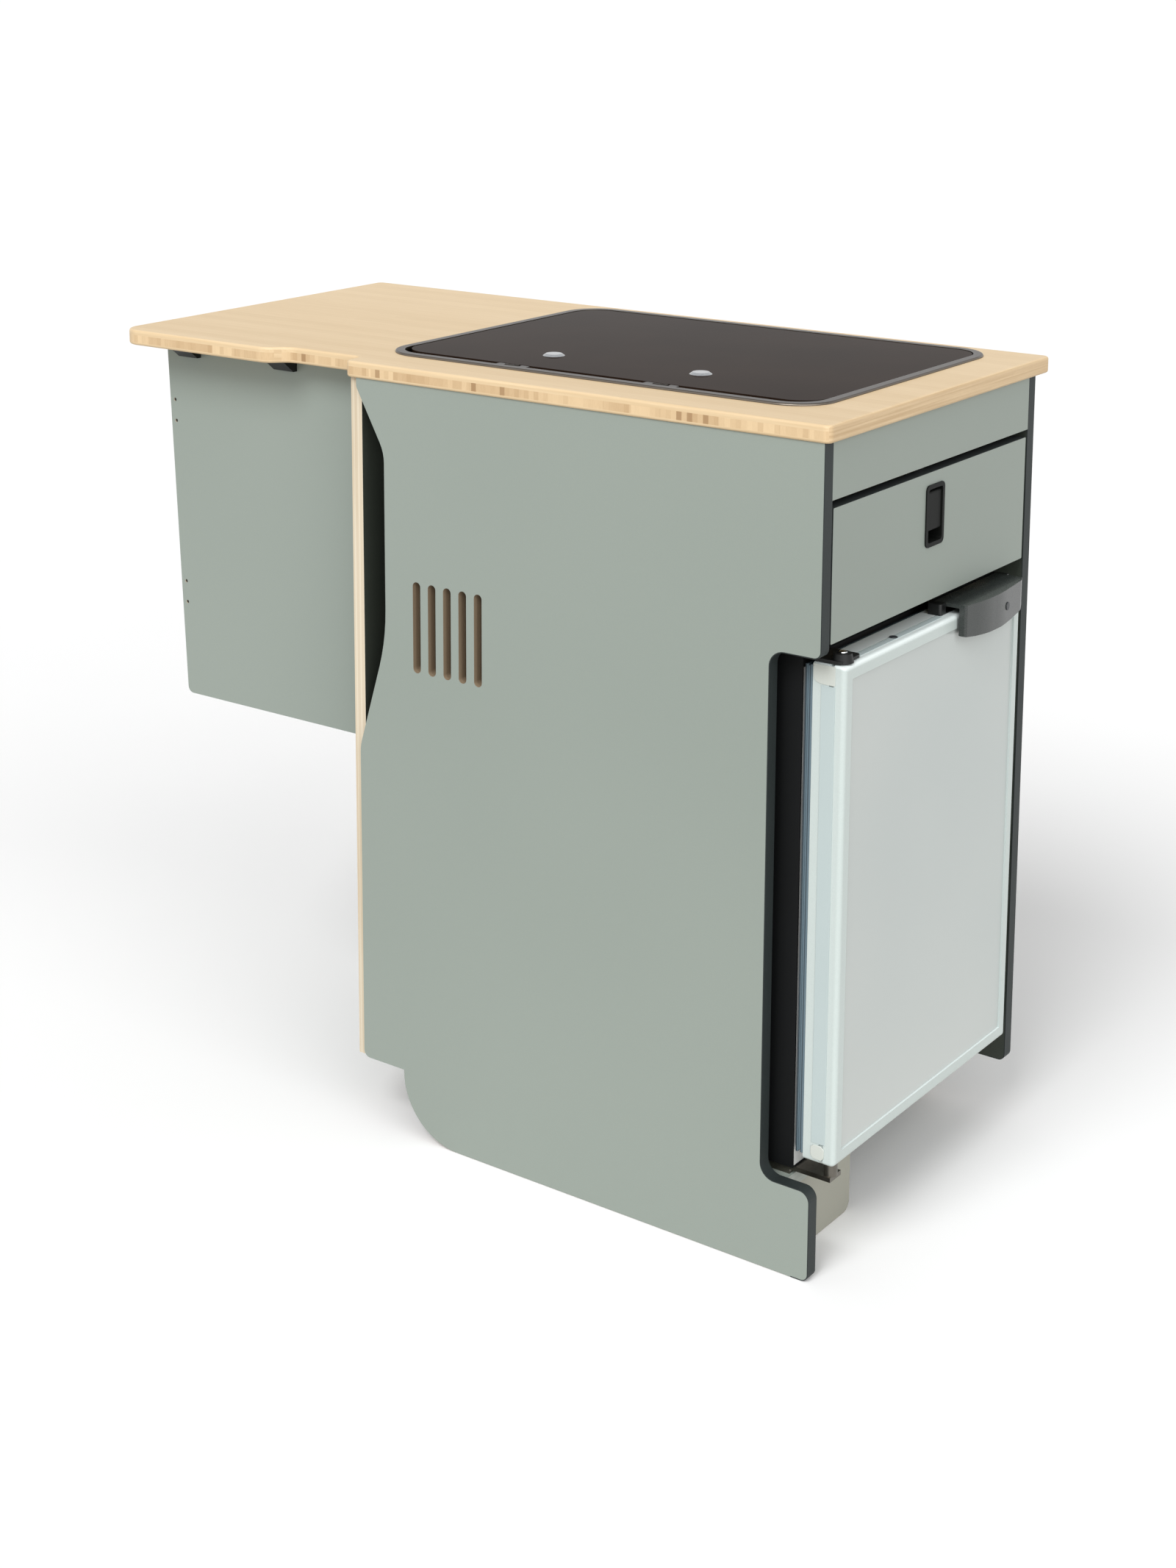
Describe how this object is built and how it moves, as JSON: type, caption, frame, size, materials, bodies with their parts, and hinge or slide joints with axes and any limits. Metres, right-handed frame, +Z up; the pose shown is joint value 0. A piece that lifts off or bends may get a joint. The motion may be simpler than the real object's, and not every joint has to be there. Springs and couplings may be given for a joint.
{
  "type": "kitchenette unit with sink and hob",
  "caption": "Compact van kitchen cabinet: bamboo worktop over a glass-lidded sink and hob, drawer, built-in fridge and an overhanging side cupboard.",
  "frame": {"origin": "on the floor under the middle of the unit's bounding box", "axes": "+X along the worktop towards the end with the fridge door and drawer, +Y from the van wall side to the aisle side, +Z up"},
  "size_m": [0.973, 0.479, 0.8822],
  "materials": {
    "grey_board": "satin grey-green laminate on plywood",
    "bamboo": "oiled bamboo strips",
    "edge_band": "dark slate edge band",
    "plywood": "bare birch plywood",
    "black_plastic": "black nylon",
    "zinc_steel": "zinc-plated",
    "stainless": "brushed stainless steel",
    "bright_chrome": "polished",
    "gas_brass": "plain",
    "burner_metal": "cast, matt",
    "burner_enamel": "black enamel",
    "grid_wire": "black enamelled wire",
    "knob_plastic": "black",
    "white_plastic": "white moulding",
    "freezer_metal": "anodised sheet",
    "casing_metal": "dark powder coat",
    "shelf_wire": "white coated wire",
    "door_profile": "pale cool grey",
    "door_panel": "pale glossy grey",
    "seal_rubber": "soft blue-grey",
    "foot_rubber": "black",
    "handle_grey": "dark grey gloss",
    "black_metal": "black",
    "waste_plastic": "grey-white pipe",
    "tinted_glass": "dark tinted safety glass"
  },
  "bodies": {
    "carcass": {"wall_side_panel": "grey_board", "aisle_side_panel": "grey_board", "panel_edge_bands": "edge_band", "divider_panel": "grey_board", "fascia_panel": "grey_board", "fridge_deck": "plywood", "plinth_leg": "grey_board", "worktop": "bamboo", "setback_panel": "grey_board", "overhang_end_panel": "grey_board", "overhang_floor": "grey_board", "worktop_brackets": "black_plastic", "cupboard_hinge_fixed_leaves": "zinc_steel", "runner_outer_members": "zinc_steel", "fridge_casing": "casing_metal", "fridge_liner": "white_plastic", "fridge_feet": "foot_rubber", "fridge_shelves": "shelf_wire", "freezer_box": "freezer_metal", "cooling_unit": "black_metal", "top_hinge": "black_metal", "visible_screws": "zinc_steel", "bottom_hinge_bar": "zinc_steel", "hob_and_sink_tray": "stainless", "burner_bodies": "burner_metal", "burner_caps": "burner_enamel", "pan_support": "grid_wire", "gas_rail": "gas_brass", "sink_waste": "waste_plastic", "tap_base": "bright_chrome", "lid_hinge_blocks": "bright_chrome", "lid_buffers": "foot_rubber"},
    "drawer": {"drawer_front": "grey_board", "drawer_latch_housing": "black_plastic", "drawer_sides": "plywood", "drawer_back": "plywood", "drawer_bottom": "plywood", "runner_inner_members": "zinc_steel"},
    "drawer_runners": {"runner_middle_members": "zinc_steel", "runner_balls": "bright_chrome"},
    "drawer_paddle": {"drawer_latch_paddle": "black_plastic"},
    "drawer_bolt": {"drawer_latch_bolt": "black_plastic"},
    "cupboard_door": {"cupboard_door": "grey_board", "cupboard_hinge_door_leaves": "zinc_steel", "cupboard_latch_housing": "black_plastic"},
    "cupboard_paddle": {"cupboard_latch_paddle": "black_plastic"},
    "cupboard_bolt": {"cupboard_latch_bolt": "black_plastic"},
    "freezer_flap": {"freezer_flap": "white_plastic"},
    "thermostat": {"thermostat_knob": "white_plastic"},
    "fridge_door": {"fridge_door_frame": "door_profile", "fridge_door_sheet": "door_panel", "fridge_door_lining": "white_plastic", "fridge_door_seal": "seal_rubber", "handle_base": "black_plastic"},
    "door_handle": {"fridge_handle": "handle_grey"},
    "wall_side_gas_knob": {"gas_knob_wall_side": "knob_plastic"},
    "aisle_side_gas_knob": {"gas_knob_aisle_side": "knob_plastic"},
    "spout": {"tap_spout": "bright_chrome"},
    "lid": {"glass_lid": "tinted_glass", "lid_hinge_arms": "bright_chrome"}
  },
  "joints": [
    {"name": "drawer_slide", "type": "slide", "parent": "carcass", "child": "drawer", "axis": [1, 0, 0], "range_m": [0, 0.25]},
    {"name": "runner_slide", "type": "slide", "parent": "carcass", "child": "drawer_runners", "axis": [1, 0, 0], "range_m": [0, 0.126]},
    {"name": "drawer_latch_hinge", "type": "hinge", "parent": "drawer", "child": "drawer_paddle", "pos_m": [0.4545, -0.0118, 0.7705], "axis": [0, -1, 0], "range_deg": [0, 25], "stiffness_Nm_per_rad": 0.05},
    {"name": "drawer_bolt_slide", "type": "slide", "parent": "drawer", "child": "drawer_bolt", "axis": [0, 0, -1], "range_m": [0, 0.0061]},
    {"name": "cupboard_door_hinge", "type": "hinge", "parent": "carcass", "child": "cupboard_door", "pos_m": [-0.1322, 0.2198, 0.644], "axis": [0, 0, -1], "range_deg": [0, 100]},
    {"name": "cupboard_latch_hinge", "type": "hinge", "parent": "cupboard_door", "child": "cupboard_paddle", "pos_m": [-0.4061, 0.228, 0.8325], "axis": [1, 0, 0], "range_deg": [0, 25], "stiffness_Nm_per_rad": 0.05},
    {"name": "cupboard_bolt_slide", "type": "slide", "parent": "cupboard_door", "child": "cupboard_bolt", "axis": [0, 0, -1], "range_m": [0, 0.0061]},
    {"name": "fridge_door_hinge", "type": "hinge", "parent": "carcass", "child": "fridge_door", "pos_m": [0.4575, -0.1945, 0.376], "axis": [0, 0, -1], "range_deg": [0, 110]},
    {"name": "fridge_handle_hinge", "type": "hinge", "parent": "fridge_door", "child": "door_handle", "pos_m": [0.4455, 0.0965, 0.642], "axis": [0, -1, 0], "range_deg": [0, 8], "stiffness_Nm_per_rad": 0.4},
    {"name": "freezer_flap_hinge", "type": "hinge", "parent": "carcass", "child": "freezer_flap", "pos_m": [0.2825, -0.0185, 0.599], "axis": [0, -1, 0], "range_deg": [0, 80]},
    {"name": "thermostat_turn", "type": "hinge", "parent": "carcass", "child": "thermostat", "pos_m": [0.3375, 0.1305, 0.447], "axis": [0, -1, 0], "range_deg": [0, 270]},
    {"name": "wall_side_gas_knob_turn", "type": "hinge", "parent": "carcass", "child": "wall_side_gas_knob", "pos_m": [0.3675, -0.0215, 0.85], "axis": [0, 0, 1], "range_deg": [0, 210]},
    {"name": "aisle_side_gas_knob_turn", "type": "hinge", "parent": "carcass", "child": "aisle_side_gas_knob", "pos_m": [0.3675, 0.0585, 0.85], "axis": [0, 0, 1], "range_deg": [0, 210]},
    {"name": "spout_swivel", "type": "hinge", "parent": "carcass", "child": "spout", "pos_m": [0.1135, -0.1405, 0.862], "axis": [0, 0, -1], "range_deg": [0, 90]},
    {"name": "lid_hinge", "type": "hinge", "parent": "carcass", "child": "lid", "pos_m": [0.129, -0.1645, 0.8778], "axis": [1, 0, 0], "range_deg": [0, 95]}
  ],
  "couplings": [
    {"joint": "runner_slide", "follows": "drawer_slide", "ratio": 0.5},
    {"joint": "drawer_bolt_slide", "follows": "drawer_latch_hinge", "m_per_rad": 0.01375},
    {"joint": "cupboard_bolt_slide", "follows": "cupboard_latch_hinge", "m_per_rad": 0.01375}
  ]
}
